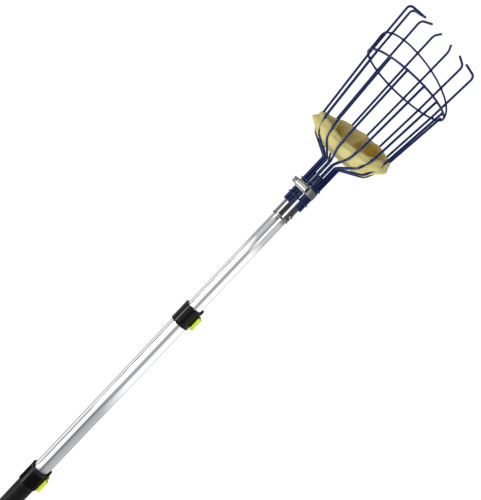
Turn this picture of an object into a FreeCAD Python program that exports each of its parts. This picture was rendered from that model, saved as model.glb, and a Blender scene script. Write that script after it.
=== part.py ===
import FreeCAD, Part
import math
import os

Vec = FreeCAD.Vector
up = Vec(0, 0, 1)

# Telescopic pole. The lowest tube starts at z = 0 and the pole runs up +Z.
stageLength = 560.0
topTubeR = 11.0
topTubeWall = 1.0
middleTubeWall = 1.2
lowerTubeWall = 0.8
tubeGap = 0.3
middleTubeBase = 321.0
topTubeBase = 552.0

# Plastic bush on the lower end of each sliding tube, and the plug in the pole's end.
bushClearance = 0.05
bushStemLength = 15.0
bushHeadLength = 10.0
bushWall = 2.2
capPlugLength = 20.0
capPlugWall = 2.5
capFlange = 4.0

# Flip lock on the upper end of each outer tube.
lockWall = 1.6
lockGrip = 12.0
lockOverhang = 18.5
lockClearance = 0.1
lockSeatDepth = 0.3
lockBead = 0.4
lockBeadHeight = 2.4
lockHornHeight = 4.0
lockHornFrom = -106.0
lockHornTo = -88.0
tongueWidth = 9.0
tongueSlot = 0.8
tongueRoot = 2.0
tongueTopBand = 4.0
hingeBearing = 6.6
hubR = 2.8
hubClearance = 0.2
hubNose = 0.15
hingePinR = 1.2
runningClearance = 0.05
leverFoot = 5.0
leverTopGap = 5.4
earGap = 0.3
lowerEarDrop = 2.0
leverStandOff = 0.5
leverPlate = 2.6
leverWrap = 130.0
leverTabR = 2.9

# Adapter sleeve over the top of the pole, and the snap button that locks it.
adapterClearance = 0.1
adapterWall = 1.1
adapterLength = 77.0
adapterOverlap = 44.0
adapterBeadR = 1.3
buttonBearing = -137.0
buttonHeight = 10.8
buttonR = 3.0
buttonProud = 1.5
buttonDome = 0.9
buttonFlangeR = 4.4
buttonFlange = 1.2

# Wire basket. Heights are measured from the adapter's lower rim.
tineCount = 14
fingerReach = 3
tineR = 1.6
weldSink = 0.1
tineStart = 24.0
reliefStart = 34.6
neckHeight = 99.5
neckBend = 5.0
bowlR = 45.0
bowlHeight = 115.8
bowlBend = 14.0
cupR = 53.5
cupHeight = 135.0
cupBend = 8.0
rimR = 63.2
rimHeight = 238.0
rimBend = 60.0
shortTineProud = 1.8
fingerFlare = 5.3
fingerHeight = 328.0
fingerDrop = 17.0
fingerBend = 6.0
fingerTipR = 44.7
fingerTipRise = 1.4

# Hoops welded round the tines.
rimWireR = 1.4
hoopWireR = 1.25
hoopLow = 14.8
hoopTilt = 43.6
hoopLegStep = 5.0
collarWireR = 1.0
lowerCollarHeight = 36.0
upperCollarHeight = 60.5

# Worm-drive clamp round the tine bundle.
clampHeight = 51.5
clampWidth = 10.6
bandThickness = 0.7
bandBite = 0.05
clampBearing = 143.0
tailFrom = -26.0
tailTo = 56.0
housingLength = 18.5
housingR = 4.7
housingFlange = 0.2
screwR = 3.0
screwLift = 4.3
screwHeadFlats = 8.0
screwHeadLength = 4.6
screwWasherR = 4.5
screwWasher = 1.0
screwEndGap = 0.1
screwSlotWidth = 1.2
screwSlotDepth = 1.6

# Foam cup that lines the bottom of the basket.
foamClearance = 0.4
foamThickness = 9.0
foamBaseHeight = 112.0
foamRimHeight = 143.0
foamRimTilt = 20.0
foamRimBearing = -33.0

fingerR = rimR + fingerFlare
topTubeBore = topTubeR - topTubeWall
middleTubeBore = topTubeR + tubeGap
middleTubeR = middleTubeBore + middleTubeWall
lowerTubeBore = middleTubeR + tubeGap
lowerTubeR = lowerTubeBore + lowerTubeWall
middleTubeTop = middleTubeBase + stageLength
topTubeTop = topTubeBase + stageLength
headBase = topTubeTop - adapterOverlap
adapterBore = topTubeR + adapterClearance
adapterR = adapterBore + adapterWall
collarTineR = adapterR + tineR - weldSink
bundleR = collarTineR + tineR
tinePitch = 360.0 / tineCount


def polar(radius, bearing, z):
    angle = math.radians(bearing)
    return Vec(radius * math.cos(angle), radius * math.sin(angle), z)


def turned(shape, bearing):
    shape.rotate(Vec(0, 0, 0), up, bearing)
    return shape


def rod(radius, z0, z1):
    return Part.makeCylinder(radius, z1 - z0, Vec(0, 0, z0))


def tube(outer, inner, z0, z1):
    return rod(outer, z0, z1).cut(rod(inner, z0 - 1, z1 + 1))


def revolved(points):
    corners = [Vec(r, 0, z) for r, z in points]
    face = Part.Face(Part.makePolygon(corners + [corners[0]]))
    return face.revolve(Vec(0, 0, 0), up, 360)


def sector(outer, inner, a0, a1, z0, z1):
    pie = Part.makeCylinder(outer, z1 - z0, Vec(0, 0, z0), up, a1 - a0)
    pie.rotate(Vec(0, 0, 0), up, a0)
    return pie.cut(rod(inner, z0 - 1, z1 + 1))


def pathEdges(points, bends):
    # Straight legs joined by tangent arcs; bends gives the arc radius at each inner corner.
    edges = []
    start = points[0]
    for before, corner, after, radius in zip(points, points[1:], points[2:], bends):
        inward = (before - corner).normalize()
        onward = (after - corner).normalize()
        half = inward.getAngle(onward) / 2
        reach = radius / math.tan(half)
        first = corner + inward * reach
        last = corner + onward * reach
        bisector = (inward + onward).normalize()
        middle = corner + bisector * (radius / math.sin(half) - radius)
        edges.append(Part.makeLine(start, first))
        edges.append(Part.Arc(first, middle, last).toShape())
        start = last
    edges.append(Part.makeLine(start, points[-1]))
    return edges


def wireAlong(edges, radius):
    spine = Part.Wire(edges)
    first = edges[0]
    tangent = first.tangentAt(first.FirstParameter)
    start = first.valueAt(first.FirstParameter)
    circle = Part.Wire(Part.makeCircle(radius, start, tangent))
    return spine.makePipeShell([circle], True, True)


def wallR(height):
    # Radius of the tines' centre line on the straight leg from the cup past the rim ring.
    share = (height - cupHeight) / (rimHeight - cupHeight)
    return cupR + share * (rimR - cupR)


def cageR(height):
    # The same line with its slight kink at the rim ring.
    if height <= rimHeight:
        return wallR(height)
    share = (height - rimHeight) / (fingerHeight - rimHeight)
    return rimR + share * (fingerR - rimR)


def basketPath(startHeight):
    return [
        (collarTineR, startHeight),
        (collarTineR, neckHeight),
        (bowlR, bowlHeight),
        (cupR, cupHeight),
    ]


def tine(index):
    bearing = index * tinePitch
    opposite = tineCount // 2
    start = reliefStart if index == opposite else tineStart
    path = basketPath(start)
    bends = [neckBend, bowlBend, cupBend]
    if abs(index) <= fingerReach:
        drop = fingerDrop * (1 - math.cos(math.radians(bearing)))
        top = fingerHeight - drop
        path.append((rimR, rimHeight))
        path.append((cageR(top), top))
        path.append((fingerTipR, top + fingerTipRise))
        bends.extend([rimBend, fingerBend])
    else:
        top = rimHeight + shortTineProud
        path.append((wallR(top), top))
    points = [polar(r, bearing, headBase + h) for r, h in path]
    return wireAlong(pathEdges(points, bends), tineR)


def ring(radius, wireR, height):
    return Part.makeTorus(radius, wireR, Vec(0, 0, headBase + height))


def fingerHoop():
    # Half hoop outside the fingers, with both ends turned down onto the rim ring.
    last = fingerReach * tinePitch
    first = -(fingerReach + 1) * tinePitch
    footHeight = rimHeight + rimWireR - weldSink
    stations = [(first - hoopLegStep, footHeight)]
    steps = 2 * fingerReach + 1
    for step in range(steps + 1):
        bearing = first + step * tinePitch
        rise = hoopLow + hoopTilt * math.cos(math.radians(bearing))
        stations.append((bearing, rimHeight + rise))
    legRise = stations[-1][1] - footHeight
    stations.append((last + hoopLegStep, footHeight + legRise / 2))
    stations.append((last + hoopLegStep, footHeight))
    outset = tineR + hoopWireR - weldSink
    points = [polar(cageR(h) + outset, b, headBase + h) for b, h in stations]
    curve = Part.BSplineCurve()
    curve.interpolate(points)
    return wireAlong([curve.toShape()], hoopWireR)


def adapterSleeve():
    top = headBase + adapterLength
    sleeve = tube(adapterR, adapterBore, headBase, top)
    bead = Part.makeTorus(adapterR - adapterBeadR / 2, adapterBeadR, Vec(0, 0, headBase + adapterBeadR))
    sleeve = sleeve.fuse(bead.cut(rod(adapterBore, headBase - 1, top))).removeSplitter()
    return sleeve.cut(buttonHole())


def buttonHole():
    foot = Vec(0, 0, headBase + buttonHeight)
    hole = Part.makeCylinder(buttonR + runningClearance, adapterR + adapterBeadR, foot, Vec(1, 0, 0))
    return turned(hole, buttonBearing)


def snapButton():
    z = headBase + buttonHeight
    x = Vec(1, 0, 0)
    seat = math.sqrt(topTubeBore ** 2 - buttonFlangeR ** 2) - runningClearance
    tip = adapterR + buttonProud
    stem = Part.makeCylinder(buttonR, tip - seat, Vec(seat, 0, z), x)
    stem = stem.makeFillet(buttonDome, [e for e in stem.Edges if e.BoundBox.XMin > tip - 0.01])
    flange = Part.makeCylinder(buttonFlangeR, buttonFlange, Vec(seat - buttonFlange, 0, z), x)
    return turned(stem.fuse(flange).removeSplitter(), buttonBearing)


def seatedTube(outer, inner, z0, z1):
    # An outer tube, turned down slightly at its upper end where the lock is pressed on.
    seat = tube(outer + 1, outer - lockSeatDepth, z1 - lockGrip, z1 + 1)
    return tube(outer, inner, z0, z1).cut(seat)


def lockBody(outerR, innerR, tubeTop):
    seatR = outerR - lockSeatDepth
    collarR = outerR + lockWall
    bore = innerR + lockClearance
    z0 = tubeTop - lockGrip
    z1 = tubeTop + lockOverhang
    profile = [
        (seatR, z0),
        (collarR + lockBead, z0),
        (collarR + lockBead, z0 + lockBeadHeight / 2),
        (collarR, z0 + lockBeadHeight),
        (collarR, z1 - lockBeadHeight),
        (collarR + lockBead, z1 - lockBeadHeight / 2),
        (collarR + lockBead, z1),
        (bore, z1),
        (bore, tubeTop),
        (seatR, tubeTop),
    ]
    body = revolved(profile)
    horn = sector(collarR + lockBead, bore, lockHornFrom, lockHornTo, z1 - lockBead, z1 + lockHornHeight)
    pinX = collarR + hubClearance + hubR
    earX0 = bore + lockWall / 2
    leverZ0, leverZ1 = leverSpan(tubeTop)
    lowerEar = (leverZ0 - earGap - lowerEarDrop, leverZ0 - earGap)
    upperEar = (leverZ1 + earGap, z1)
    for low, high in (lowerEar, upperEar):
        ear = Part.makeBox(pinX - earX0, 2 * hubR, high - low, Vec(earX0, -hubR, low))
        ear = ear.fuse(Part.makeCylinder(hubR, high - low, Vec(pinX, 0, low)))
        body = body.fuse(ear.cut(rod(bore, low - 1, high + 1)))
    body = body.fuse(horn).cut(rod(seatR, z0 - 1, tubeTop))
    body = body.cut(Part.makeCylinder(hingePinR, z1 - z0, Vec(pinX, 0, z0)))
    slotX = bore - 1
    depth = collarR + lockBead + 1 - slotX
    slotZ0 = tubeTop + tongueRoot
    slotZ1 = z1 - tongueTopBand
    for side in (-tongueWidth / 2, tongueWidth / 2 - tongueSlot):
        body = body.cut(Part.makeBox(depth, tongueSlot, slotZ1 - slotZ0, Vec(slotX, side, slotZ0)))
    cross = Part.makeBox(depth, tongueWidth, tongueSlot, Vec(slotX, -tongueWidth / 2, slotZ1 - tongueSlot))
    return turned(body.cut(cross).removeSplitter(), hingeBearing)


def leverSpan(tubeTop):
    return tubeTop - lockGrip + leverFoot, tubeTop + lockOverhang - leverTopGap


def lockLever(outerR, tubeTop):
    collarR = outerR + lockWall
    pinX = collarR + hubClearance + hubR
    z0, z1 = leverSpan(tubeTop)
    inner = collarR + lockBead + leverStandOff
    outer = inner + leverPlate
    hub = Part.makeCylinder(hubR, z1 - z0, Vec(pinX, 0, z0))
    nose = Part.makeCylinder(hubR, z1 - z0, Vec(pinX - hubNose, 0, z0))
    plate = sector(outer, inner, -leverWrap, 0, z0, z1)
    tab = Part.makeCylinder(leverTabR, z1 - z0, polar(inner + leverTabR, -leverWrap, z0))
    lever = plate.fuse([hub, nose, tab]).removeSplitter()
    hole = Part.makeCylinder(hingePinR + runningClearance, z1 - z0 + 2, Vec(pinX, 0, z0 - 1))
    return turned(lever.cut(hole), hingeBearing)


def lockPin(outerR, tubeTop):
    pinX = outerR + lockWall + hubClearance + hubR
    leverZ0, leverZ1 = leverSpan(tubeTop)
    z0 = leverZ0 - earGap - lowerEarDrop
    z1 = tubeTop + lockOverhang
    return turned(Part.makeCylinder(hingePinR, z1 - z0, Vec(pinX, 0, z0)), hingeBearing)


def slideBush(tubeBore, guideBore, tubeBase):
    head = tube(guideBore - bushClearance, tubeBore - bushWall, tubeBase - bushHeadLength, tubeBase)
    stem = tube(tubeBore, tubeBore - bushWall, tubeBase, tubeBase + bushStemLength)
    return head.fuse(stem).removeSplitter()


def endCap():
    flange = rod(lowerTubeR, -capFlange, 0)
    flange = flange.makeFillet(capFlange / 2, [e for e in flange.Edges if e.BoundBox.ZMax < -capFlange + 0.01])
    plug = tube(lowerTubeBore, lowerTubeBore - capPlugWall, 0, capPlugLength)
    return flange.fuse(plug).removeSplitter()


def clampBand():
    z0 = headBase + clampHeight - clampWidth / 2
    z1 = z0 + clampWidth
    inner = bundleR - bandBite
    outer = inner + bandThickness
    hoop = tube(outer, inner, z0, z1)
    tail = sector(outer + bandThickness, outer, tailFrom, tailTo, z0, z1)
    return turned(hoop.fuse(tail).removeSplitter(), clampBearing)


def clampHousing():
    z = headBase + clampHeight
    seat = bundleR - bandBite + 2 * bandThickness
    screwX = seat + screwLift
    half = housingLength / 2
    width = clampWidth + 2 * housingFlange
    barrel = Part.makeCylinder(housingR, housingLength, Vec(screwX, -half, z), Vec(0, 1, 0))
    cheek = Part.makeBox(screwLift + half, housingLength, 2 * housingR, Vec(seat - half, -half, z - housingR))
    foot = Part.makeBox(half + housingFlange, housingLength, width, Vec(seat - half, -half, z - width / 2))
    block = barrel.fuse([cheek, foot])
    block = block.cut(rod(seat, z - width, z + width))
    hole = Part.makeCylinder(screwR + runningClearance, housingLength + 2, Vec(screwX, -half - 1, z), Vec(0, 1, 0))
    return turned(block.cut(hole).removeSplitter(), clampBearing)


def clampScrew():
    z = headBase + clampHeight
    screwX = bundleR - bandBite + 2 * bandThickness + screwLift
    half = housingLength / 2
    back = Vec(0, -1, 0)
    neck = -half - screwEndGap
    shank = Part.makeCylinder(screwR, half + housingLength / 2 + screwEndGap, Vec(screwX, half, z), back)
    washer = Part.makeCylinder(screwWasherR, screwWasher, Vec(screwX, neck, z), back)
    corner = screwHeadFlats / math.sqrt(3)
    headY = neck - screwWasher
    rim = [Vec(screwX, headY, z) + Vec(corner * math.cos(a), 0, corner * math.sin(a))
           for a in (math.radians(60 * k) for k in range(7))]
    head = Part.Face(Part.makePolygon(rim)).extrude(Vec(0, -screwHeadLength, 0))
    screw = shank.fuse([washer, head]).removeSplitter()
    slotY = headY - screwHeadLength
    slot = Part.makeBox(2 * corner + 2, screwSlotDepth + 1, screwSlotWidth,
                        Vec(screwX - corner - 1, slotY - 1, z - screwSlotWidth / 2))
    return turned(screw.cut(slot), clampBearing)


def offsetCorners(points, distance):
    # Moves a polyline sideways, towards the basket's axis, by the same distance everywhere.
    shifted = []
    for a, b in zip(points, points[1:]):
        run = (b - a).normalize()
        side = Vec(-run.z, 0, run.x) * distance
        shifted.append((a + side, run))
    corners = []
    for (p, u), (q, v) in zip(shifted, shifted[1:]):
        cross = u.x * v.z - u.z * v.x
        gap = q - p
        corners.append(p + u * ((gap.x * v.z - gap.z * v.x) / cross))
    return corners, shifted


def foamCup():
    # The outside follows the tines; the inside is the same line moved in by the foam's thickness.
    rimTop = foamRimHeight + foamRimTilt + 1
    line = basketPath(tineStart) + [(cageR(rimTop + foamThickness), rimTop + foamThickness)]
    points = [Vec(r, 0, headBase + h) for r, h in line[1:]]
    base = headBase + foamBaseHeight
    top = headBase + rimTop

    def shell(distance, floor):
        corners, legs = offsetCorners(points, distance)
        foot, run = legs[0]
        low = foot + run * ((floor - foot.z) / run.z)
        tip, rise = legs[-1]
        high = tip + rise * ((top - tip.z) / rise.z)
        edges = pathEdges([low] + corners + [high], [bowlBend - distance, cupBend])
        edges.append(Part.makeLine(high, Vec(0, 0, top)))
        edges.append(Part.makeLine(Vec(0, 0, top), Vec(0, 0, floor)))
        edges.append(Part.makeLine(Vec(0, 0, floor), low))
        return Part.Face(Part.Wire(edges)).revolve(Vec(0, 0, 0), up, 360)

    outside = tineR + foamClearance
    cup = shell(outside, base).cut(shell(outside + foamThickness, base + foamThickness))
    slope = math.degrees(math.atan(foamRimTilt / cupR))
    knife = Part.makeBox(4 * rimR, 4 * rimR, 4 * rimR, Vec(-2 * rimR, -2 * rimR, 0))
    knife.rotate(Vec(0, 0, 0), Vec(0, 1, 0), -slope)
    knife.rotate(Vec(0, 0, 0), up, foamRimBearing)
    knife.translate(Vec(0, 0, headBase + foamRimHeight))
    return cup.cut(knife)


def build():
    hole = buttonHole()
    nodes = {
        "lower_tube": seatedTube(lowerTubeR, lowerTubeBore, 0, stageLength),
        "middle_tube": seatedTube(middleTubeR, middleTubeBore, middleTubeBase, middleTubeTop),
        "top_tube": tube(topTubeR, topTubeBore, topTubeBase, topTubeTop).cut(hole),
        "end_cap": endCap(),
        "middle_tube_bush": slideBush(middleTubeBore, lowerTubeBore, middleTubeBase),
        "top_tube_bush": slideBush(topTubeBore, middleTubeBore, topTubeBase),
        "adapter_sleeve": adapterSleeve(),
        "snap_button": snapButton(),
        "rim_ring": ring(rimR + tineR + rimWireR - weldSink, rimWireR, rimHeight),
        "collar_ring_lower": ring(bundleR + collarWireR - weldSink, collarWireR, lowerCollarHeight),
        "collar_ring_upper": ring(bundleR + collarWireR - weldSink, collarWireR, upperCollarHeight),
        "finger_hoop": fingerHoop(),
        "clamp_band": clampBand(),
        "clamp_housing": clampHousing(),
        "clamp_screw": clampScrew(),
        "foam_cup": foamCup(),
    }
    locks = (
        ("lower_lock", lowerTubeR, middleTubeR, stageLength),
        ("upper_lock", middleTubeR, topTubeR, middleTubeTop),
    )
    for name, outerR, innerR, tubeTop in locks:
        nodes[name + "_body"] = lockBody(outerR, innerR, tubeTop)
        nodes[name + "_lever"] = lockLever(outerR, tubeTop)
        nodes[name + "_pin"] = lockPin(outerR, tubeTop)
    for step in range(tineCount):
        index = fingerReach - step if step <= 2 * fingerReach else step - fingerReach
        if abs(index) <= fingerReach:
            nodes["finger_wire_%d" % (step + 1)] = tine(index)
        else:
            nodes["short_wire_%d" % (index - fingerReach)] = tine(index)
    return nodes


os.makedirs("parts", exist_ok=True)
for node, shape in build().items():
    if not shape.isValid() or len(shape.Solids) != 1:
        raise ValueError("%s is not one sound solid" % node)
    shape.Solids[0].exportStep("parts/%s.step" % node)
    print(node, round(shape.Volume, 1))
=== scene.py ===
import math
import bmesh
import bpy
from bmesh.types import BMEdge, BMFace, BMVert
from mathutils import Matrix, Vector, noise


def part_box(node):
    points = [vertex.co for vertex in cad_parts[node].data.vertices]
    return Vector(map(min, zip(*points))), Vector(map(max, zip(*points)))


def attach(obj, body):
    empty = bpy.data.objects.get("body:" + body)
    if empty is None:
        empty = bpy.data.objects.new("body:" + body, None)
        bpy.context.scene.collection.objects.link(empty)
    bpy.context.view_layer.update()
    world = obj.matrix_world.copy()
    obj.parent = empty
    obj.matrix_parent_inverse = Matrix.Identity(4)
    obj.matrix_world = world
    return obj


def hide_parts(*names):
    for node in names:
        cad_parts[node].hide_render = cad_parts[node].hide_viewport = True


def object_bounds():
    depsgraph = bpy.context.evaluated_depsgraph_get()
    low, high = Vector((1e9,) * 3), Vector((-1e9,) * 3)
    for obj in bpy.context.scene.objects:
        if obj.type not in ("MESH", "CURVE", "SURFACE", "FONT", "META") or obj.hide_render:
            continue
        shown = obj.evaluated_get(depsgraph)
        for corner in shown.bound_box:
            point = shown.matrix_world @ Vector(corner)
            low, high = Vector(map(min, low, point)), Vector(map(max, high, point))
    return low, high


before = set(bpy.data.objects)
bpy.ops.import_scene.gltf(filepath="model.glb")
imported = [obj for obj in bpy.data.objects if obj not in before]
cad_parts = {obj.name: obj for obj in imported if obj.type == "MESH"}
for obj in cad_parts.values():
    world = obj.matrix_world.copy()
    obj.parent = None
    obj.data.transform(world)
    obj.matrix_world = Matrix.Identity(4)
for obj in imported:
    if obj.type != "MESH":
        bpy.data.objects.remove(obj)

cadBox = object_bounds()
scene = bpy.context.scene
print("frame loaded:", len(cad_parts), "nodes")

# ---- stage ----

stage = {
    "cameraPlace": (-0.871007, 0.248438, 1.098373),
    "cameraTurn": (81.51550, -43.15682, -99.57399),
    "lens": 48.44,
    "floorRadius": 6.0,
    "floorDrop": 0.0005,
    "floorGlow": 0.8,
    "backdrop": 1.04,
    "skyLight": 0.30,
    "cameraBearing": 164.6,
    "tentRadius": 0.8,
    "tentTop": 2.4,
    "tentLift": 0.001,
}
# What shiny surfaces see all round the pole, as (place, glow) stops: place 0.5 is the camera's side.
reflections = {
    "silver": [(0.0, 0.40), (0.04, 0.95), (0.08, 1.0), (0.10, 0.30), (0.13, 0.45), (0.19, 1.0),
               (0.250, 1.1), (0.255, 0.06), (0.304, 0.06), (0.316, 10.0), (0.358, 9.0), (0.368, 1.25),
               (0.465, 1.25), (0.49, 0.55), (0.545, 0.36), (0.585, 0.50), (0.62, 1.1),
               (0.80, 1.25), (0.87, 1.0), (0.90, 0.35), (0.94, 0.55), (0.97, 0.95), (1.0, 0.40)],
    "silverLow": [(0.0, 0.40), (0.05, 0.95), (0.09, 0.95), (0.11, 0.28), (0.15, 0.5), (0.20, 1.0),
                  (0.280, 1.1), (0.286, 0.05), (0.320, 0.05), (0.326, 1.25),
                  (0.455, 1.25), (0.485, 0.30), (0.53, 0.20), (0.56, 0.42), (0.66, 0.52), (0.84, 0.62),
                  (0.885, 0.12), (0.92, 0.9), (0.97, 0.8), (1.0, 0.40)],
    "silverHigh": [(0.0, 0.6), (0.17, 0.40), (0.25, 0.42), (0.27, 0.62), (0.41, 0.62), (0.45, 0.34),
                   (0.50, 0.34), (0.525, 1.2), (0.585, 1.2), (0.61, 0.52), (0.70, 0.68), (0.80, 0.62),
                   (0.86, 0.45), (1.0, 0.6)],
    "blackLow": [(0.0, 0.01), (0.270, 0.02), (0.300, 5.0), (0.350, 4.4), (0.385, 0.03), (0.74, 0.02),
                 (0.78, 0.4), (0.82, 0.02), (1.0, 0.01)],
    "plated": [(0.0, 0.5), (0.13, 0.55), (0.22, 0.40), (0.27, 0.7), (0.290, 3.0), (0.330, 3.0), (0.355, 0.10),
               (0.515, 0.08), (0.53, 3.0), (0.585, 3.0), (0.60, 0.16), (0.82, 0.14), (0.90, 0.4), (1.0, 0.4)],
    "wires": [(0.0, 0.15), (0.26, 0.1), (0.28, 3.0), (0.32, 3.0), (0.345, 0.8), (0.41, 0.8), (0.43, 0.1),
              (1.0, 0.1)],
}
# Each row: a height on the tent, the softness of the change there, and the reflection above it.
tentBands = ((0.125, 0.004, "silverLow"), (0.40, 0.05, "silver"), (0.945, 0.02, "silverHigh"),
             (1.035, 0.004, "plated"), (1.15, 0.004, "wires"))
tentLowest = "blackLow"
# Ramps only hold 0 to 1, so glows are divided by this peak and the strength brings it back.
tentPeak = 14.0


def makeCamera():
    data = bpy.data.cameras.new("viewCamera")
    data.sensor_width = 36
    data.lens = stage["lens"]
    data.clip_start = 0.01
    camera = bpy.data.objects.new("viewCamera", data)
    camera.location = stage["cameraPlace"]
    camera.rotation_euler = [math.radians(a) for a in stage["cameraTurn"]]
    scene.collection.objects.link(camera)
    scene.camera = camera


class Value:
    # A shader socket that can be used in ordinary arithmetic.
    def __init__(self, graph, socket):
        self.graph = graph
        self.socket = socket

    def math(self, operation, first, second):
        node = self.graph.node("ShaderNodeMath", {"operation": operation}, {0: first, 1: second})
        return Value(self.graph, node.outputs[0])

    def __add__(self, other):
        return self.math("ADD", self, other)

    def __radd__(self, other):
        return self.math("ADD", other, self)

    def __sub__(self, other):
        return self.math("SUBTRACT", self, other)

    def __rsub__(self, other):
        return self.math("SUBTRACT", other, self)

    def __mul__(self, other):
        return self.math("MULTIPLY", self, other)

    def __rmul__(self, other):
        return self.math("MULTIPLY", other, self)

    def __truediv__(self, other):
        return self.math("DIVIDE", self, other)

    def __rtruediv__(self, other):
        return self.math("DIVIDE", other, self)


class Graph:
    # The node tree of a material or a world.
    def __init__(self, owner):
        owner.use_nodes = True
        self.tree = owner.node_tree
        self.tree.nodes.clear()

    def node(self, kind, settings=None, inputs=None):
        node = self.tree.nodes.new(kind)
        for key, setting in (settings or {}).items():
            if key == "stops":
                self.fillRamp(node.color_ramp, setting)
            else:
                setattr(node, key, setting)
        for key, value in (inputs or {}).items():
            if isinstance(value, Value):
                self.tree.links.new(value.socket, node.inputs[key])
            else:
                node.inputs[key].default_value = value
        return node

    def fillRamp(self, ramp, stops):
        while len(ramp.elements) < len(stops):
            ramp.elements.new(1.0)
        for element, (place, shade) in zip(ramp.elements, stops):
            element.position = place
            element.color = (*shade, 1) if isinstance(shade, tuple) else (shade, shade, shade, 1)

    def out(self, node, name=0):
        return Value(self, node.outputs[name])

    def place(self):
        return self.out(self.node("ShaderNodeTexCoord"), "Object")

    def stretched(self, scale, source=None):
        mapping = self.node("ShaderNodeMapping", {}, {"Vector": source or self.place(), "Scale": scale})
        return self.out(mapping)

    def noise(self, scale, detail=3.0, rough=0.5, vector=None):
        made = self.node("ShaderNodeTexNoise", {}, {
            "Vector": vector or self.place(), "Scale": scale, "Detail": detail, "Roughness": rough})
        return self.out(made, "Fac")

    def ramp(self, value, stops):
        return self.out(self.node("ShaderNodeValToRGB", {"stops": stops}, {0: value}))

    def mixed(self, factor, first, second):
        node = self.node("ShaderNodeMix", {"data_type": "RGBA"}, {0: factor, 6: first, 7: second})
        return self.out(node, 2)

    def bump(self, height, strength, distance):
        return self.out(self.node("ShaderNodeBump", {},
                                  {"Height": height, "Strength": strength, "Distance": distance}))


def surface(name, build, **fixed):
    # build adds the varying inputs; fixed values go straight on the shader's sockets.
    material = bpy.data.materials.new(name)
    graph = Graph(material)
    shader = graph.node("ShaderNodeBsdfPrincipled", {}, {k.replace("_", " "): v for k, v in fixed.items()})
    for key, value in build(graph).items():
        graph.tree.links.new(value.socket, shader.inputs[key.replace("_", " ")])
    output = graph.node("ShaderNodeOutputMaterial")
    graph.tree.links.new(shader.outputs[0], output.inputs[0])
    return material


def makeWorld():
    world = bpy.data.worlds.new("studio")
    world.cycles_visibility.glossy = False
    scene.world = world
    graph = Graph(world)
    light = graph.node("ShaderNodeBackground", {}, {"Color": (1, 1, 1, 1), "Strength": stage["skyLight"]})
    backdrop = graph.node("ShaderNodeBackground", {}, {"Color": (1, 1, 1, 1), "Strength": stage["backdrop"]})
    ray = graph.out(graph.node("ShaderNodeLightPath"), "Is Camera Ray")
    mix = graph.node("ShaderNodeMixShader", {}, {0: ray, 1: graph.out(light), 2: graph.out(backdrop)})
    output = graph.node("ShaderNodeOutputWorld")
    graph.tree.links.new(mix.outputs[0], output.inputs[0])


def makeTent():
    # A tall drum of light round the pole that only shiny surfaces can see.
    def paint(graph):
        turn = math.radians(stage["cameraBearing"])
        axes = graph.node("ShaderNodeSeparateXYZ", {}, {0: graph.place()})
        x = graph.out(axes, 0)
        y = graph.out(axes, 1)
        height = graph.out(axes, 2)
        ahead = x * math.cos(turn) + y * math.sin(turn)
        aside = y * math.cos(turn) - x * math.sin(turn)
        bearing = aside.math("ARCTAN2", aside, ahead) / (2 * math.pi) + 0.5
        walls = {name: graph.ramp(bearing, [(place, glow / tentPeak) for place, glow in stops])
                 for name, stops in reflections.items()}
        glow = walls[tentLowest]
        for level, soft, above in tentBands:
            limits = {0: height, 1: level - soft, 2: level + soft}
            zone = graph.out(graph.node("ShaderNodeMapRange", {}, limits))
            glow = graph.mixed(zone, glow, walls[above])
        return {"Emission_Color": glow}

    bm = bmesh.new()
    circle = bmesh.ops.create_circle(bm, segments=96, radius=stage["tentRadius"])
    edges = edgesOf(circle["verts"])
    bmesh.ops.translate(bm, vec=(0, 0, cadBox[0][2] + stage["tentLift"]), verts=bm.verts)
    spread(bm, edges, Vector((0, 0, 1)), stage["tentTop"])
    tent = toObject("lightTent", bm)
    tent.data.materials.append(surface("tentGlow", paint, Emission_Strength=tentPeak, Roughness=1.0,
                                       Base_Color=(0, 0, 0, 1), Specular_IOR_Level=0.0))
    tent.visible_camera = False
    tent.visible_diffuse = False
    tent.visible_shadow = False
    tent.visible_transmission = False


def makeFloor():
    bm = bmesh.new()
    bmesh.ops.create_circle(bm, cap_ends=True, segments=64, radius=stage["floorRadius"])
    bmesh.ops.translate(bm, vec=(0, 0, cadBox[0][2] - stage["floorDrop"]), verts=bm.verts)
    floor = toObject("studioFloor", bm)

    def paint(graph):
        mottle = graph.noise(3.0, 2.0)
        return {"Base_Color": graph.ramp(mottle, [(0.3, (0.93, 0.93, 0.93)), (0.7, (0.96, 0.96, 0.955))])}

    floor.data.materials.append(surface("paleFloor", paint, Roughness=0.9, Specular_IOR_Level=0.1,
                                        Emission_Color=(1, 1, 1, 1), Emission_Strength=stage["floorGlow"]))


def makeLights():
    # Soft panels: a tall key to the camera's left, a fill to the right, and one overhead.
    panels = (
        ("keyPanel", (-1.25, 0.95, 0.95), (0, 0, 1.15), 0.8, 1.2, 5.5),
        ("fillPanel", (-0.9, -1.2, 1.2), (0, 0, 1.1), 0.9, 1.5, 4),
        ("topPanel", (-0.2, 0.4, 2.7), (0, 0, 1.0), 1.2, 1.2, 5.5),
    )
    for name, place, target, width, height, power in panels:
        data = bpy.data.lights.new(name, "AREA")
        data.shape = "RECTANGLE"
        data.size = width
        data.size_y = height
        data.energy = power
        lamp = bpy.data.objects.new(name, data)
        lamp.location = place
        aim = Vector(target) - Vector(place)
        lamp.rotation_euler = aim.to_track_quat("-Z", "Y").to_euler()
        lamp.visible_glossy = False
        scene.collection.objects.link(lamp)


# ---- mesh helpers ----

tipReach = 0.8  # a rod's rounded tip, as a share of its radius


def only(kind, geom):
    return [g for g in geom if isinstance(g, kind)]


def edgesOf(verts):
    return list({e for v in verts for e in v.link_edges})


def rotate(bm, degrees, verts=None):
    bmesh.ops.rotate(bm, cent=(0, 0, 0), matrix=Matrix.Rotation(math.radians(degrees), 3, "Z"),
                     verts=verts or bm.verts)


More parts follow.
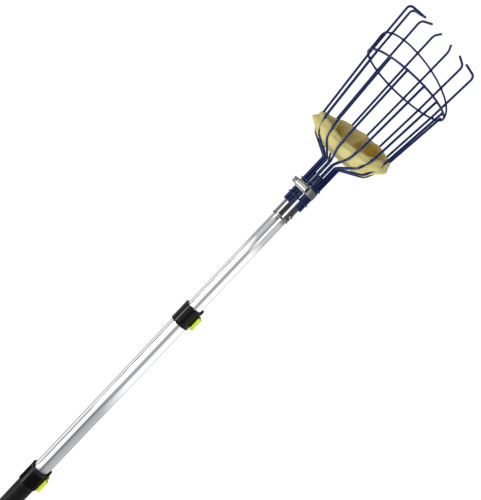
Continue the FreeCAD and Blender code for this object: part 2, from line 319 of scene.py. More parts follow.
def toObject(name, bm, smoothAngle=40, fixNormals=True):
    bmesh.ops.remove_doubles(bm, verts=bm.verts, dist=1e-6)
    if fixNormals:
        bmesh.ops.recalc_face_normals(bm, faces=bm.faces)
    mesh = bpy.data.meshes.new(name)
    bm.to_mesh(mesh)
    bm.free()
    mesh.shade_smooth()
    mesh.set_sharp_from_angle(angle=math.radians(smoothAngle))
    obj = bpy.data.objects.new(name, mesh)
    scene.collection.objects.link(obj)
    return obj


def addBevel(obj, width, segments=3, angle=30):
    bevel = obj.modifiers.new("edgeRounding", "BEVEL")
    bevel.width = width
    bevel.segments = segments
    bevel.limit_method = "ANGLE"
    bevel.angle_limit = math.radians(angle)
    bevel.harden_normals = True


def settle(obj, node, body, material):
    obj.data.materials.clear()
    obj.data.materials.append(material)
    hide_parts(node)
    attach(obj, body)


def lathe(bm, profile, steps=96, rounding=0.0, corners=(), closed=True):
    # Spins an (r, z) outline round the pole; the listed corners are rounded first.
    verts = [bm.verts.new((r, 0, z)) for r, z in profile]
    edges = [bm.edges.new(pair) for pair in zip(verts, verts[1:])]
    if closed:
        edges.append(bm.edges.new((verts[-1], verts[0])))
    if rounding:
        picked = [verts[i] for i in corners]
        bmesh.ops.bevel(bm, geom=picked, offset=rounding, segments=3, profile=0.5,
                        affect="VERTICES", material=-1)
        edges = [e for e in bm.edges if not e.link_faces]
    geom = edges + [v for v in bm.verts if not v.link_faces]
    bmesh.ops.spin(bm, geom=geom, cent=(0, 0, 0), axis=(0, 0, 1), angle=math.tau, steps=steps,
                   use_merge=True)


def radii(node):
    low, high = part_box(node)
    return (high[0] - low[0]) / 2, low[2], high[2]


def spread(bm, edges, direction, distance):
    made = bmesh.ops.extrude_edge_only(bm, edges=edges)["geom"]
    verts = only(BMVert, made)
    bmesh.ops.translate(bm, vec=direction * distance, verts=verts)
    return [e for e in only(BMEdge, made) if e.is_boundary], verts


def dome(bm, edges, verts, centre, direction, radius, steps=3, stopShort=0.6):
    # Closes an open end of a rod with a rounded tip that ends in a small flat.
    reach = 0.0
    size = 1.0
    for step in range(1, steps + 1):
        angle = math.pi / 2 * step / (steps + stopShort)
        ahead = radius * math.sin(angle) * tipReach
        narrow = math.cos(angle)
        edges, verts = spread(bm, edges, direction, ahead - reach)
        middle = centre + direction * ahead
        bmesh.ops.scale(bm, vec=Vector((narrow / size,) * 3), verts=verts,
                        space=Matrix.Translation(-middle))
        reach = ahead
        size = narrow
    bmesh.ops.contextual_create(bm, geom=edges)


def leg(bm, ring, heading, distance, pad=0.0003):
    # A short step at each end keeps the shading along the leg straight.
    for part in (pad, distance - 2 * pad, pad):
        ring, verts = spread(bm, ring, heading, part)
    return ring, verts


def rodAlong(bm, path, bends, radius, sides=16, bendSteps=8):
    # A round rod through the path's legs, with a true arc at each inner corner.
    points = [Vector(p) for p in path]
    heading = (points[1] - points[0]).normalized()
    start = points[0] + heading * radius * tipReach
    frameTurn = heading.to_track_quat("Z", "Y").to_matrix().to_4x4()
    circle = bmesh.ops.create_circle(bm, segments=sides, radius=radius,
                                     matrix=Matrix.Translation(start) @ frameTurn)
    ring = edgesOf(circle["verts"])
    dome(bm, ring, circle["verts"], start, -heading, radius)
    here = start
    for i in range(1, len(points) - 1):
        inward = (points[i - 1] - points[i]).normalized()
        onward = (points[i + 1] - points[i]).normalized()
        half = inward.angle(onward) / 2
        reach = bends[i - 1] / math.tan(half)
        first = points[i] + inward * reach
        last = points[i] + onward * reach
        centre = points[i] + (inward + onward).normalized() * bends[i - 1] / math.sin(half)
        ring = leg(bm, ring, (first - here).normalized(), (first - here).length)[0]
        axis = (-inward).cross(onward).normalized()
        made = bmesh.ops.spin(bm, geom=ring, cent=centre, axis=axis, angle=math.pi - 2 * half,
                              steps=bendSteps, use_merge=False)["geom_last"]
        ring = only(BMEdge, made)
        here = last
    heading = (points[-1] - here).normalized()
    tipFoot = points[-1] - heading * radius * tipReach
    ring, verts = leg(bm, ring, heading, (tipFoot - here).length)
    dome(bm, ring, verts, tipFoot, heading, radius)


def bead(bm, place, radius, squeeze=(1, 1, 1), turn=0.0):
    matrix = Matrix.Translation(place) @ Matrix.Rotation(turn, 4, "Z") @ Matrix.Diagonal((*squeeze, 1))
    bmesh.ops.create_icosphere(bm, subdivisions=2, radius=radius, matrix=matrix)


def polar(radius, bearing, z):
    angle = math.radians(bearing)
    return Vector((radius * math.cos(angle), radius * math.sin(angle), z))


# ---- finishes ----

dipColours = {"deep": (0.001, 0.006, 0.060, 1), "light": (0.003, 0.020, 0.15, 1)}
pore = (0.46, 0.38, 0.13, 1)


def dippedBlue(graph):
    mottle = graph.noise(60.0, 3.0)
    colour = graph.mixed(mottle, dipColours["deep"], dipColours["light"])
    peel = graph.noise(1400.0, 2.0)
    runs = graph.noise(260.0, 2.0)
    return {
        "Base_Color": colour,
        "Roughness": 0.14 + mottle * 0.12,
        "Normal": graph.bump(peel * 0.4 + runs, 0.25, 0.0002),
    }


def drawnAluminium(graph):
    grain = graph.noise(900.0, 4.0, 0.6, graph.stretched((1, 1, 0.012)))
    broad = graph.noise(30.0, 2.0)
    return {
        "Base_Color": graph.ramp(grain, [(0.3, (0.80, 0.81, 0.83)), (0.7, (0.90, 0.905, 0.91))]),
        "Roughness": 0.035 + grain * 0.03 + broad * 0.02,
        "Normal": graph.bump(grain, 0.03, 0.0001),
    }


def blackCoat(graph):
    peel = graph.noise(900.0, 3.0)
    patch = graph.noise(25.0, 3.0)
    return {
        "Base_Color": graph.ramp(patch, [(0.3, (0.0012, 0.0012, 0.0012)), (0.7, (0.003, 0.003, 0.0035))]),
        "Roughness": 0.20 + patch * 0.14,
        "Normal": graph.bump(peel, 0.18, 0.0002),
    }


def blackMoulded(graph):
    fine = graph.noise(1800.0, 2.0)
    patch = graph.noise(40.0, 3.0)
    return {
        "Base_Color": graph.ramp(patch, [(0.3, (0.0015, 0.0015, 0.002)), (0.7, (0.004, 0.004, 0.005))]),
        "Roughness": 0.08 + patch * 0.08,
        "Normal": graph.bump(fine, 0.08, 0.0001),
    }


def greenMoulded(graph):
    fine = graph.noise(1500.0, 2.0)
    patch = graph.noise(70.0, 2.0)
    return {
        "Base_Color": graph.ramp(patch, [(0.3, (0.60, 0.80, 0.018)), (0.7, (0.70, 0.90, 0.035))]),
        "Roughness": 0.28 + patch * 0.12,
        "Normal": graph.bump(fine, 0.10, 0.0001),
    }


def darkPlate(graph):
    streak = graph.noise(500.0, 3.0, 0.6, graph.stretched((1, 1, 0.04)))
    cloud = graph.noise(45.0, 3.0)
    return {
        "Base_Color": graph.ramp(cloud, [(0.3, (0.30, 0.30, 0.31)), (0.7, (0.42, 0.42, 0.43))]),
        "Roughness": 0.05 + streak * 0.06,
        "Normal": graph.bump(streak, 0.12, 0.0001),
    }


def zincSteel(graph):
    grain = graph.noise(700.0, 4.0, 0.6)
    cloud = graph.noise(90.0, 3.0)
    return {
        "Base_Color": graph.ramp(cloud, [(0.3, (0.34, 0.35, 0.34)), (0.7, (0.50, 0.51, 0.50))]),
        "Roughness": 0.24 + grain * 0.18,
        "Normal": graph.bump(grain, 0.10, 0.0001),
    }


def darkSteel(graph):
    grain = graph.noise(600.0, 3.0, 0.6)
    return {
        "Base_Color": graph.ramp(grain, [(0.3, (0.10, 0.10, 0.11)), (0.7, (0.20, 0.20, 0.21))]),
        "Roughness": 0.28 + grain * 0.2,
        "Normal": graph.bump(grain, 0.15, 0.0001),
    }


def whiteNylon(graph):
    patch = graph.noise(120.0, 3.0)
    return {
        "Base_Color": graph.ramp(patch, [(0.3, (0.74, 0.73, 0.70)), (0.7, (0.82, 0.81, 0.78))]),
        "Roughness": 0.45 + patch * 0.15,
    }


def blackRubber(graph):
    grain = graph.noise(1300.0, 3.0)
    patch = graph.noise(60.0, 3.0)
    return {
        "Base_Color": graph.ramp(patch, [(0.3, (0.012, 0.012, 0.012)), (0.7, (0.022, 0.022, 0.022))]),
        "Roughness": 0.62 + patch * 0.2,
        "Normal": graph.bump(grain, 0.3, 0.0002),
    }


def cellFoam(graph):
    cells = graph.node("ShaderNodeTexVoronoi", {"feature": "SMOOTH_F1"},
                       {"Vector": graph.place(), "Scale": 900.0, "Smoothness": 0.4})
    coarse = graph.noise(320.0, 4.0, 0.6)
    cloud = graph.noise(28.0, 4.0, 0.55)
    # The inside attribute marks the cup's inner wall, which gets painted shade: a darker golden-brown colour
    # standing in for the shade inside the cup.
    insideShadeMask = graph.out(graph.node("ShaderNodeAttribute", {"attribute_name": "inside"}), "Fac")
    outsideColour = graph.ramp(cloud, [(0.30, (0.55, 0.49, 0.165)), (0.70, (0.64, 0.59, 0.25))])
    shadeMottle = graph.noise(38.0, 3.0, 0.5)
    insideShadeColour = graph.ramp(shadeMottle, [(0.38, (0.56, 0.38, 0.06)), (0.60, (0.74, 0.64, 0.27))])
    # Painted shade: the inner wall takes the darker colour, mottled by noise; the outer wall keeps the foam's
    # own pale colour.
    colour = graph.mixed(insideShadeMask, outsideColour, insideShadeColour)
    return {
        "Base_Color": graph.mixed(coarse * 0.2, colour, pore),
        "Roughness": 0.80 + cloud * 0.15,
        "Normal": graph.bump(graph.out(cells, "Distance") * 0.6 + coarse, 0.55, 0.0006),
    }


dipped = surface("dippedBlue", dippedBlue, Coat_Weight=0.1, Coat_Roughness=0.1, Specular_IOR_Level=0.3)
aluminium = surface("drawnAluminium", drawnAluminium, Metallic=1.0)
blackTube = surface("blackTubeCoat", blackCoat, Specular_IOR_Level=0.15)
blackPlastic = surface("blackMoulding", blackMoulded, Specular_IOR_Level=0.18)
greenPlastic = surface("greenMoulding", greenMoulded, Subsurface_Weight=0.05, Subsurface_Scale=0.002)
darkChrome = surface("darkPlating", darkPlate, Metallic=1.0)
zinc = surface("zincSteel", zincSteel, Metallic=1.0)
screwSteel = surface("screwSteel", darkSteel, Metallic=1.0)
nylon = surface("bushNylon", whiteNylon, Specular_IOR_Level=0.4)
rubber = surface("capRubber", blackRubber, Specular_IOR_Level=0.3)
foam = surface("cellFoam", cellFoam, Subsurface_Weight=0.15, Subsurface_Scale=0.003,
               Sheen_Weight=0.06, Sheen_Roughness=0.6, Specular_IOR_Level=0.2)
print("finishes ready")

# ---- pole ----

poleShape = {"topBore": 0.0100, "middleBore": 0.0113, "lowerBore": 0.0128, "edge": 0.00025, "pad": 0.001}


def makeTube(name, node, bore, body, material):
    radius, z0, z1 = radii(node)
    bm = bmesh.new()
    pad = poleShape["pad"]
    profile = [(bore, z0), (radius, z0), (radius, z0 + pad), (radius, z1 - pad), (radius, z1), (bore, z1),
               (bore, z1 - pad), (bore, z0 + pad)]
    lathe(bm, profile, 128, poleShape["edge"], (0, 1, 4, 5))
    settle(toObject(name, bm), node, body, material)


capShape = {"foot": 0.002, "chamfer": 0.0006, "shoulder": 0.0003, "lead": 0.001, "wall": 0.0025}


def makeEndCap():
    c = capShape
    radius, z0, z1 = radii("end_cap")
    bore = poleShape["lowerBore"]
    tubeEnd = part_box("lower_tube")[0][2]
    profile = [(0, z0), (radius - c["foot"], z0), (radius - c["chamfer"], z0 + c["chamfer"]),
               (radius, z0 + c["foot"]), (radius, tubeEnd - c["shoulder"]), (bore, tubeEnd),
               (bore, z1 - c["lead"]), (bore - c["lead"], z1), (bore - c["wall"], z1),
               (bore - c["wall"], tubeEnd), (0, tubeEnd)]
    bm = bmesh.new()
    lathe(bm, profile, 96, closed=False)
    settle(toObject("endCap", bm), "end_cap", "pole_base", rubber)


makeTube("lowerTube", "lower_tube", poleShape["lowerBore"], "pole_base", blackTube)
makeTube("middleTube", "middle_tube", poleShape["middleBore"], "middle_stage", aluminium)
makeTube("topTube", "top_tube", poleShape["topBore"], "head", aluminium)
makeEndCap()
print("pole done")

# ---- flip locks ----

lockShape = {
    "hinge": 6.6, "bead": 0.0004, "beadHeight": 0.0024, "grip": 0.012, "overhang": 0.0185,
    "horn": 0.004, "hornFrom": -106, "hornTo": -88, "hub": 0.0028, "hubGap": 0.0002,
    "standOff": 0.0005, "plate": 0.0026, "wrap": 130, "tab": 0.0029, "ear": 0.0020, "earGap": 0.0003,
    "leverFoot": 0.0050, "leverTop": 0.0054, "wall": 0.0016, "fit": 0.0001, "pad": 0.001,
    "hornSink": 0.001, "edge": 0.0005, "leverEdge": 0.0007,
}


def arcBlock(bm, inner, outer, fromAngle, toAngle, z0, z1, steps):
    # A curved slab: one face swept round the pole.
    corners = [bm.verts.new((r, 0, z)) for r, z in ((inner, z0), (outer, z0), (outer, z1), (inner, z1))]
    rotate(bm, fromAngle, corners)
    start = bm.faces.new(corners)
    cap = bmesh.ops.duplicate(bm, geom=[start])["geom"]
    bmesh.ops.spin(bm, geom=only(BMFace, cap), cent=(0, 0, 0), axis=(0, 0, 1),
                   angle=math.radians(toAngle - fromAngle), steps=steps, use_merge=False)


def postBlock(bm, x0, x1, halfWidth, z0, z1, steps=10):
    # An ear: a straight tongue with a round end, drawn flat and pulled up.
    verts = [bm.verts.new((x0, -halfWidth, z0)), bm.verts.new((x1, -halfWidth, z0))]
    for step in range(1, steps):
        a = -math.pi / 2 + math.pi * step / steps
        verts.append(bm.verts.new((x1 + halfWidth * math.cos(a), halfWidth * math.sin(a), z0)))
    verts += [bm.verts.new((x1, halfWidth, z0)), bm.verts.new((x0, halfWidth, z0))]
    face = bm.faces.new(verts)
    top = bmesh.ops.extrude_face_region(bm, geom=[face], use_keep_orig=True)["geom"]
    bmesh.ops.translate(bm, vec=(0, 0, z1 - z0), verts=only(BMVert, top))


def makeLock(prefix, outerNode, innerNode, body, leverBody):
    s = lockShape
    outerR = radii(outerNode)[0]
    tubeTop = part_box(outerNode)[1][2]
    bore = radii(innerNode)[0] + s["fit"]
    collar = outerR + s["wall"]
    z0 = tubeTop - s["grip"]
    z1 = tubeTop + s["overhang"]
    wide = collar + s["bead"]
    step = s["beadHeight"]
    profile = [(outerR, z0), (wide, z0), (wide, z0 + step / 2), (collar, z0 + step),
               (collar, z0 + step + s["pad"]), (collar, z1 - step - s["pad"]), (collar, z1 - step),
               (wide, z1 - step / 2), (wide, z1), (bore, z1), (bore, tubeTop), (outerR, tubeTop)]
    bm = bmesh.new()
    lathe(bm, profile, 96, s["edge"], (1, 2, 7, 8, 9))
    pinX = collar + s["hubGap"] + s["hub"]
    leverLow = z0 + s["leverFoot"]
    leverHigh = z1 - s["leverTop"]
    arcBlock(bm, bore + s["fit"], wide, s["hornFrom"], s["hornTo"], z1 - s["hornSink"], z1 + s["horn"], 12)
    inset = bore + s["wall"] / 2
    postBlock(bm, inset, pinX, s["hub"], leverLow - s["earGap"] - s["ear"], leverLow - s["earGap"])
    postBlock(bm, inset, pinX, s["hub"], leverHigh + s["earGap"], z1)
    rotate(bm, s["hinge"])
    shell = toObject(prefix + "LockBody", bm, 35)
    addBevel(shell, s["edge"], 3, 40)
    settle(shell, prefix.lower() + "_lock_body", body, blackPlastic)

    bm = bmesh.new()
    inner = wide + s["standOff"]
    middle = (leverLow + leverHigh) / 2
    arcBlock(bm, inner, inner + s["plate"], -s["wrap"], 0, leverLow, leverHigh, 32)
    bmesh.ops.create_cone(bm, cap_ends=True, segments=40, radius1=s["hub"], radius2=s["hub"],
                          depth=leverHigh - leverLow, matrix=Matrix.Translation((pinX, 0, middle)))
    tabPlace = polar(inner + s["tab"], -s["wrap"], middle)
    bmesh.ops.create_cone(bm, cap_ends=True, segments=40, radius1=s["tab"], radius2=s["tab"],
                          depth=leverHigh - leverLow, matrix=Matrix.Translation(tabPlace))
    rotate(bm, s["hinge"])
    lever = toObject(prefix + "LockLever", bm, 35)
    addBevel(lever, s["leverEdge"], 3, 40)
    settle(lever, prefix.lower() + "_lock_lever", leverBody, greenPlastic)


makeLock("Lower", "lower_tube", "middle_tube", "pole_base", "lower_lever")
makeLock("Upper", "middle_tube", "top_tube", "middle_stage", "upper_lever")
print("locks done")

# ---- adapter sleeve and snap button ----

sleeveShape = {
    "bore": 0.0111, "radius": 0.0122, "beadR": 0.0013, "beadSweep": 160, "beadSteps": 6, "lip": 0.0003,
    "straightFrom": 0.0031, "pad": 0.0007, "endPad": 0.0005,
}


def makeSleeve():
    s = sleeveShape
    z0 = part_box("adapter_sleeve")[0][2]
    z1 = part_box("adapter_sleeve")[1][2]
    profile = [(s["bore"], z0 + s["lip"]), (s["bore"] + s["lip"], z0)]
    middle = Vector((s["radius"] - s["beadR"] / 2, z0 + s["beadR"]))
    for step in range(s["beadSteps"] + 1):
        a = math.radians(s["beadSweep"] * (step / s["beadSteps"] - 0.5))
        profile.append((middle.x + s["beadR"] * math.cos(a), middle.y + s["beadR"] * math.sin(a)))
    straight = z0 + s["straightFrom"]
    profile += [(s["radius"], straight), (s["radius"], straight + s["pad"]),
                (s["radius"], z1 - s["endPad"]), (s["radius"], z1), (s["bore"], z1)]
    bm = bmesh.new()
    lathe(bm, profile, 128)
    settle(toObject("adapterSleeve", bm, 50), "adapter_sleeve", "head", darkChrome)


makeSleeve()

# ---- wire basket ----

basket = {
    "count": 14, "reach": 3, "radius": 0.0016, "collarR": 0.0137, "start": 0.024, "relief": 0.0346,
    "neck": 0.0995, "neckBend": 0.005, "bowlR": 0.045, "bowl": 0.1158, "bowlBend": 0.014,
    "cupR": 0.0535, "cup": 0.135, "cupBend": 0.008,
    "rimR": 0.0632, "rim": 0.238, "rimBend": 0.06, "shortProud": 0.0018,
    "fingerR": 0.0685, "finger": 0.328, "fingerDrop": 0.017, "fingerBend": 0.006,
    "tipR": 0.0447, "tipRise": 0.0014, "ringR": 0.0661, "ringWire": 0.0014,
    "hoopWire": 0.00125, "hoopLow": 0.0148, "hoopTilt": 0.0436, "hoopLeg": 5.0, "sink": 0.0001,
    "collarWire": 0.0010, "lowCollar": 0.036, "highCollar": 0.0605,
    "weldSize": 1.25, "ringWeld": (0.8, 1.5, 1.25), "hoopWeld": (0.8, 1.5, 1.3),
}
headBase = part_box("adapter_sleeve")[0][2]
pitch = 360 / basket["count"]
bundleR = basket["collarR"] + basket["radius"]


def wallRadius(height):
    b = basket
    return b["cupR"] + (height - b["cup"]) / (b["rim"] - b["cup"]) * (b["rimR"] - b["cupR"])


def cageRadius(height):
    b = basket
    if height <= b["rim"]:
        return wallRadius(height)
    return b["rimR"] + (height - b["rim"]) / (b["finger"] - b["rim"]) * (b["fingerR"] - b["rimR"])


def makeTine(name, node, index):
    b = basket
    bearing = index * pitch
    start = b["relief"] if index == b["count"] // 2 else b["start"]
    path = [(b["collarR"], start), (b["collarR"], b["neck"]), (b["bowlR"], b["bowl"]), (b["cupR"], b["cup"])]
    bends = [b["neckBend"], b["bowlBend"], b["cupBend"]]
    if abs(index) <= b["reach"]:
        top = b["finger"] - b["fingerDrop"] * (1 - math.cos(math.radians(bearing)))
        path += [(b["rimR"], b["rim"]), (cageRadius(top), top), (b["tipR"], top + b["tipRise"])]
        bends += [b["rimBend"], b["fingerBend"]]
    else:
        top = b["rim"] + b["shortProud"]
        path.append((wallRadius(top), top))
    bm = bmesh.new()
    rodAlong(bm, [polar(r, bearing, headBase + h) for r, h in path], bends, b["radius"])
    settle(toObject(name, bm, 60), node, "head", dipped)


def makeHoopRing(name, node, radius, wire, height, welds):
    # A closed ring of wire, with the coating gathered where it crosses each of the given tines.
    b = basket
    bm = bmesh.new()
    section = Matrix.Translation((radius, 0, height)) @ Matrix.Rotation(math.pi / 2, 4, "X")
    circle = bmesh.ops.create_circle(bm, segments=14, radius=wire, matrix=section)
    bmesh.ops.spin(bm, geom=edgesOf(circle["verts"]), cent=(0, 0, 0), axis=(0, 0, 1), angle=math.tau,
                   steps=168, use_merge=True)
    bmesh.ops.remove_doubles(bm, verts=bm.verts, dist=1e-6)
    bmesh.ops.recalc_face_normals(bm, faces=bm.faces)
    for index in welds:
        bearing = index * pitch
        bead(bm, polar(radius - wire, bearing, height), wire * b["weldSize"], b["ringWeld"],
             math.radians(bearing))
    settle(toObject(name, bm, 60, False), node, "head", dipped)


def makeFingerHoop():
    b = basket
    last = b["reach"] * pitch
    first = -(b["reach"] + 1) * pitch
    foot = b["rim"] + b["ringWire"] - b["sink"]
    stations = [(first - b["hoopLeg"], foot)]
    for step in range(2 * b["reach"] + 2):
        bearing = first + step * pitch
        stations.append((bearing, b["rim"] + b["hoopLow"] + b["hoopTilt"] * math.cos(math.radians(bearing))))
    rise = stations[-1][1] - foot
    stations += [(last + b["hoopLeg"], foot + rise / 2), (last + b["hoopLeg"], foot)]
    outset = b["radius"] + b["hoopWire"] - b["sink"]
    curve = bpy.data.curves.new("fingerHoopLine", "CURVE")
    curve.dimensions = "3D"
    curve.bevel_depth = b["hoopWire"]
    curve.bevel_resolution = 4
    curve.resolution_u = 14
    curve.use_fill_caps = True
    spline = curve.splines.new("BEZIER")
    spline.bezier_points.add(len(stations) - 1)
    for point, (bearing, height) in zip(spline.bezier_points, stations):
        point.co = polar(cageRadius(height) + outset, bearing, headBase + height)
        point.handle_left_type = "AUTO"
        point.handle_right_type = "AUTO"
    line = bpy.data.objects.new("fingerHoopLine", curve)
    scene.collection.objects.link(line)
    bpy.context.view_layer.update()
    mesh = bpy.data.meshes.new_from_object(line.evaluated_get(bpy.context.evaluated_depsgraph_get()))
    bm = bmesh.new()
    bm.from_mesh(mesh)
    bpy.data.objects.remove(line)
    for step in range(1, 2 * b["reach"] + 2):
        bearing, height = stations[step + 1]
        bead(bm, polar(cageRadius(height) + b["radius"], bearing, headBase + height),
             b["hoopWire"] * b["weldSize"], b["hoopWeld"], math.radians(bearing))
    settle(toObject("fingerHoop", bm, 60, False), "finger_hoop", "head", dipped)


for number in range(1, basket["count"] // 2 + 1):
    makeTine("fingerTine%d" % number, "finger_wire_%d" % number, basket["reach"] + 1 - number)
    makeTine("shortTine%d" % number, "short_wire_%d" % number, basket["reach"] + number)
allTines = range(basket["count"])
makeHoopRing("rimRing", "rim_ring", basket["ringR"], basket["ringWire"], headBase + basket["rim"], allTines)
collarMiddle = bundleR + basket["collarWire"] - basket["sink"]
for name, height in (("lower", "lowCollar"), ("upper", "highCollar")):
    makeHoopRing(name + "CollarRing", "collar_ring_" + name, collarMiddle, basket["collarWire"],
                 headBase + basket[height], ())
makeFingerHoop()
print("basket done")

# ---- worm clamp ----

clamp = {
    "bearing": 143, "bite": 0.00005, "band": 0.0007, "tailFrom": -26, "tailTo": 56, "border": 0.0018,
    "slotDepth": 0.0005, "slotMargin": 0.00018, "slotSlope": 0.00004, "bandEdge": 0.00015,
    "half": 0.00925, "barrel": 0.0047, "lift": 0.0043, "footEdge": 0.0011, "footTop": 0.0012,
    "footBlend": 0.0013, "housingEdge": 0.0005, "outsideWithin": 0.0002, "upright": 0.5,
}


def pushSlots(bm, outer, low, high):
    # Every other face of the middle row, on the outside of the band, becomes a slot.
    row = [f for f in bm.faces if low < f.calc_center_median().z < high
           and abs(f.calc_center_median().to_2d().length - outer) < clamp["outsideWithin"]
           and abs(f.normal.z) < clamp["upright"]]
    row.sort(key=lambda f: math.atan2(f.calc_center_median().y, f.calc_center_median().x))
    bmesh.ops.inset_individual(bm, faces=row[::2], thickness=clamp["slotMargin"], depth=0)
    bmesh.ops.inset_individual(bm, faces=row[::2], thickness=clamp["slotSlope"],
                                 depth=-clamp["slotDepth"])


def makeClampBand():
    c = clamp
    z0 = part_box("clamp_band")[0][2]
    z1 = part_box("clamp_band")[1][2]
    inner = bundleR - c["bite"]
    outer = inner + c["band"]
    bm = bmesh.new()
    lathe(bm, [(inner, z0), (outer, z0), (outer, z0 + c["border"]), (outer, z1 - c["border"]),
               (outer, z1), (inner, z1)], 96)
    bmesh.ops.remove_doubles(bm, verts=bm.verts, dist=1e-6)
    bmesh.ops.recalc_face_normals(bm, faces=bm.faces)
    pushSlots(bm, outer, z0 + c["border"], z1 - c["border"])
    arcBlock(bm, outer, outer + c["band"], c["tailFrom"] + c["bearing"], c["tailTo"] + c["bearing"],
             z0, z1, 24)
    band = toObject("clampBand", bm, 30)
    addBevel(band, c["bandEdge"], 2, 50)
    settle(band, "clamp_band", "head", zinc)


def makeClampHousing():
    c = clamp
    z0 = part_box("clamp_housing")[0][2]
    z1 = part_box("clamp_housing")[1][2]
    middle = (z0 + z1) / 2
    seat = bundleR - c["bite"] + 2 * c["band"]
    screwX = seat + c["lift"]
    halfWide = (z1 - z0) / 2
    outline = [(seat, -halfWide), (seat + c["footEdge"], -halfWide), (seat + c["footTop"], -c["barrel"])]
    steps = 12
    for step in range(steps + 1):
        a = -math.pi / 2 + math.pi * step / steps
        outline.append((screwX + c["barrel"] * math.cos(a), c["barrel"] * math.sin(a)))
    outline += [(seat + c["footTop"], c["barrel"]), (seat + c["footEdge"], halfWide), (seat, halfWide)]
    bm = bmesh.new()
    face = bm.faces.new([bm.verts.new((x, -c["half"], middle + z)) for x, z in outline])
    sweep = only(BMFace, bmesh.ops.duplicate(bm, geom=[face])["geom"])
    for step in range(steps):
        made = bmesh.ops.extrude_face_region(bm, geom=sweep)["geom"]
        bmesh.ops.translate(bm, vec=(0, 2 * c["half"] / steps, 0), verts=only(BMVert, made))
        sweep = only(BMFace, made)
    for v in bm.verts:
        # The foot follows the band's curve.
        share = max(0.0, 1 - (v.co.x - seat) / c["footBlend"])
        v.co.x -= share * (seat - math.sqrt(seat ** 2 - v.co.y ** 2))
    rotate(bm, c["bearing"])
    housing = toObject("clampHousing", bm, 35)
    addBevel(housing, c["housingEdge"], 3, 40)
    settle(housing, "clamp_housing", "head", zinc)


makeClampBand()
makeClampHousing()
print("clamp done")

# ---- foam cup ----

foamShape = {
    "base": 0.112, "thickness": 0.0082, "middle": 0.1427, "highBearing": -15.4,
    "tilt": 0.01635, "side": 0.00565, "saddle": -0.0005, "twist": -0.0014, "third": 0.00105,
    "gap": 0.0021, "bulge": 0.0122, "baseBulge": 0.0018, "round": 0.85,
    "peak": 1.55, "peakSwing": 0.3, "pinch": 1.7, "proud": 0.45,
    "corner": 0.0065, "cornerBearing": 89, "cornerWidth": 10, "cornerHeight": 0.1262,
    "cornerDepth": 0.0055, "ripple": 0.0012, "crease": 0.0022, "rimShadeShare": 0.6,
    "rimWaves": 2.3, "sideWaves": 3.7, "sideClimb": 40, "foldWaves": 5.1, "foldClimb": 60, "floorInset": 0.98,
    "stepsPerTine": 16, "outerSteps": 16, "innerSteps": 14, "rimSteps": 7,
}


def wireRadius(height):
    b = basket
    if height <= b["bowl"]:
        share = (height - b["neck"]) / (b["bowl"] - b["neck"])
        return b["collarR"] + share * (b["bowlR"] - b["collarR"])
    if height <= b["cup"]:
        share = (height - b["bowl"]) / (b["cup"] - b["bowl"])
        return b["bowlR"] + share * (b["cupR"] - b["bowlR"])
    return wallRadius(height)


def makeFoamCup():
    # Spun as a unit outline, whose x is the run outwards and z the climb, then shaped to the wires.
    f = foamShape
    tracks = []
    for step in range(f["outerSteps"] + 1):
        tracks.append(("outer", step / f["outerSteps"]))
    for step in range(1, f["rimSteps"]):
        tracks.append(("rim", step / f["rimSteps"]))
    for step in range(f["innerSteps"] + 1):
        tracks.append(("inner", 1 - step / f["innerSteps"]))
    bm = bmesh.new()
    last = len(tracks)
    outline = [(0.0, -1.0)] + [(1.0 + i, float(i)) for i in range(last)] + [(0.0, last + 1.0)]
    verts = [bm.verts.new((x, 0, z)) for x, z in outline]
    edges = [bm.edges.new(pair) for pair in zip(verts, verts[1:])]
    bmesh.ops.spin(bm, geom=verts + edges, cent=(0, 0, 0), axis=(0, 0, 1), angle=math.tau,
                   steps=basket["count"] * f["stepsPerTine"], use_merge=True)
    bmesh.ops.remove_doubles(bm, verts=bm.verts, dist=1e-4)
    inside = bm.verts.layers.float.new("inside")
    base = headBase + f["base"]
    for v in bm.verts:
        number = round(v.co.z)
        if v.co.to_2d().length < 0.01:
            sunk = number >= 0
            v.co = Vector((0, 0, base + (f["thickness"] if sunk else 0)))
            v[inside] = 1.0 if sunk else 0.0
            continue
        angle = math.atan2(v.co.y, v.co.x)
        kind, share = tracks[number]
        v.co = foamPoint(angle, kind, share, base)
        # Mask for the painted shade: none on the outer wall, rising across the rim, full on the inner wall.
        v[inside] = {"outer": 0.0, "rim": share * f["rimShadeShare"], "inner": 1.0}[kind]
    cup = toObject("foamCup", bm, 180)
    settle(cup, "foam_cup", "head", foam)


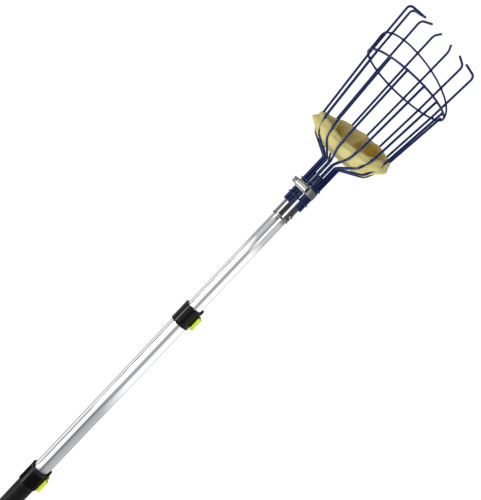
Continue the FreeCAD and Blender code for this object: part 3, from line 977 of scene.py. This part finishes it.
def foamPoint(angle, kind, share, base):
    # Where a point of the outside, the rim or the inside of the cup stands; share runs along its track.
    f = foamShape
    lean = angle - math.radians(f["highBearing"])
    top = headBase + f["middle"] + f["tilt"] * math.cos(lean) + f["side"] * math.cos(lean + math.pi / 2)
    top += f["saddle"] * math.cos(2 * lean) + f["twist"] * math.sin(2 * lean)
    top += f["third"] * math.cos(3 * lean)
    ring = Vector((math.cos(angle), math.sin(angle), 0))
    top += f["ripple"] * 2 * noise.noise(ring * f["rimWaves"] + Vector((3.1, 0, 0)))
    between = abs(math.sin(basket["count"] / 2 * angle))
    lift = share if kind != "rim" else 1.0
    height = base + (top - base) * lift
    if kind == "inner":
        height = base + f["thickness"] + (top - base - f["thickness"]) * lift
    peak = f["peak"] * math.exp(-f["peakSwing"] * math.sin(lean))
    swell = max(0.0, math.sin(math.pi * lift ** peak)) ** f["pinch"]
    belly = f["proud"] * lift ** 2 + (1 - f["proud"]) * swell
    bulge = (f["baseBulge"] + (f["bulge"] - f["baseBulge"]) * belly) * between ** f["round"]
    bulge += f["ripple"] * noise.noise(ring * f["sideWaves"] + Vector((0, 0, height * f["sideClimb"])))
    around = (math.degrees(angle) - f["cornerBearing"]) / f["cornerWidth"]
    above = (height - headBase - f["cornerHeight"]) / f["cornerDepth"]
    bulge += f["corner"] * math.exp(-around ** 2 - above ** 2)
    outer = wireRadius(height - headBase) - f["gap"] + bulge
    if kind == "outer":
        return ring * max(outer, 0.001) + Vector((0, 0, height))
    if kind == "rim":
        swing = math.pi * share
        radius = outer - f["thickness"] / 2 * (1 - math.cos(swing))
        return ring * radius + Vector((0, 0, height + f["thickness"] / 2 * math.sin(swing)))
    fold = f["crease"] * (1 - between) ** 2 * math.sin(math.pi * lift) ** 0.5
    wander = noise.noise(ring * f["foldWaves"] + Vector((7.0, 0, height * f["foldClimb"])))
    fold += 2 * f["ripple"] * wander
    radius = max(outer - f["thickness"] - fold, 0.002) * (1 if lift > 0 else f["floorInset"])
    return ring * radius + Vector((0, 0, height))


makeFoamCup()
print("foam done")

# ---- simple carried-over parts ----

carried = {
    "middle_tube_bush": nylon, "top_tube_bush": nylon, "lower_lock_pin": zinc, "upper_lock_pin": zinc,
    "snap_button": zinc, "clamp_screw": screwSteel,
}
for node, material in carried.items():
    obj = bpy.data.objects[node]
    for materialSlot in obj.material_slots:
        materialSlot.material = material

makeCamera()
makeWorld()
makeTent()
makeFloor()
makeLights()
scene.view_settings.view_transform = "Standard"
